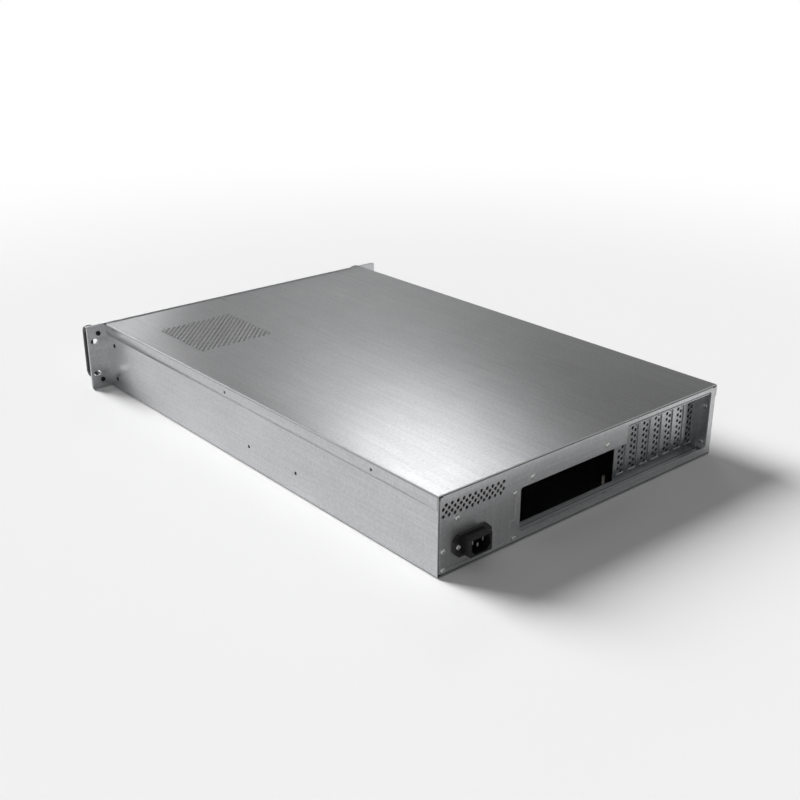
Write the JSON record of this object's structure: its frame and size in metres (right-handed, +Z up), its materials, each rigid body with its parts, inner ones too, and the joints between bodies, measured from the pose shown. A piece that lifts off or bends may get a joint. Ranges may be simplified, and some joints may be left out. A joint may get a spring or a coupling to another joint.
{
  "type": "rackmount server case",
  "caption": "Empty low sheet-steel case for a 19-inch rack, with lift-off cover, perforated vents, recessed card slots, mains inlet, rack ears and bow handles.",
  "frame": {"origin": "on the ground, under the middle of the case's overall box", "axes": "+X across the rack, +Y from the front panel to the rear face, +Z up"},
  "size_m": [0.4826, 0.699, 0.0881],
  "materials": {
    "chassis_tray": "bare galvanised sheet, soft sheen",
    "rear_wall": "bare galvanised sheet, soft sheen",
    "io_panel": "bare galvanised sheet, soft sheen",
    "slot_cover_1": "bare galvanised sheet",
    "slot_cover_2": "bare galvanised sheet",
    "slot_cover_3": "bare galvanised sheet",
    "slot_cover_4": "bare galvanised sheet",
    "slot_cover_5": "bare galvanised sheet",
    "slot_cover_6": "bare galvanised sheet",
    "slot_cover_7": "bare galvanised sheet",
    "slot_screws": "bright zinc plating",
    "psu_plate": "bare galvanised sheet, soft sheen",
    "plate_screws": "bright zinc plating",
    "mains_inlet": "black moulding",
    "inlet_pins": "nickel plated brass",
    "inlet_screws": "bright zinc plating",
    "recess_rivets": "bright zinc plating",
    "front_panel": "bare galvanised sheet, soft sheen",
    "front_bracket_left": "bare galvanised sheet, soft sheen",
    "front_bracket_right": "bare galvanised sheet, soft sheen",
    "front_crossbar": "bare galvanised sheet, soft sheen",
    "side_screws": "black oxide",
    "handle_left": "black, fine grain",
    "handle_right": "black, fine grain",
    "handle_screws": "black oxide",
    "board_standoffs": "turned",
    "psu_bracket": "bare galvanised sheet, soft sheen",
    "drive_cage": "bare galvanised sheet, soft sheen",
    "control_board": "green laminate",
    "control_spacers": "turned",
    "usb_sockets": "nickel plated shells",
    "led_lenses": "clear",
    "top_cover": "bare galvanised sheet, soft sheen",
    "power_button": "black",
    "reset_button": "black"
  },
  "bodies": {
    "chassis": {"chassis_tray": "chassis_tray", "rear_wall": "rear_wall", "io_panel": "io_panel", "slot_cover_1": "slot_cover_1", "slot_cover_2": "slot_cover_2", "slot_cover_3": "slot_cover_3", "slot_cover_4": "slot_cover_4", "slot_cover_5": "slot_cover_5", "slot_cover_6": "slot_cover_6", "slot_cover_7": "slot_cover_7", "slot_screws": "slot_screws", "psu_plate": "psu_plate", "plate_screws": "plate_screws", "mains_inlet": "mains_inlet", "inlet_pins": "inlet_pins", "inlet_screws": "inlet_screws", "recess_rivets": "recess_rivets", "front_panel": "front_panel", "front_bracket_left": "front_bracket_left", "front_bracket_right": "front_bracket_right", "front_crossbar": "front_crossbar", "side_screws": "side_screws", "handle_left": "handle_left", "handle_right": "handle_right", "handle_screws": "handle_screws", "board_standoffs": "board_standoffs", "psu_bracket": "psu_bracket", "drive_cage": "drive_cage", "control_board": "control_board", "control_spacers": "control_spacers", "usb_sockets": "usb_sockets", "led_lenses": "led_lenses"},
    "cover": {"top_cover": "top_cover"},
    "power_key": {"power_button": "power_button"},
    "reset_key": {"reset_button": "reset_button"}
  },
  "joints": [
    {"name": "cover_lift", "type": "slide", "parent": "chassis", "child": "cover", "axis": [0, 0, 1], "range_m": [0, 0.12]},
    {"name": "power_press", "type": "slide", "parent": "chassis", "child": "power_key", "axis": [0, 1, 0], "range_m": [0, 0.0015], "stiffness_N_per_m": 600},
    {"name": "reset_press", "type": "slide", "parent": "chassis", "child": "reset_key", "axis": [0, 1, 0], "range_m": [0, 0.0015], "stiffness_N_per_m": 600}
  ]
}
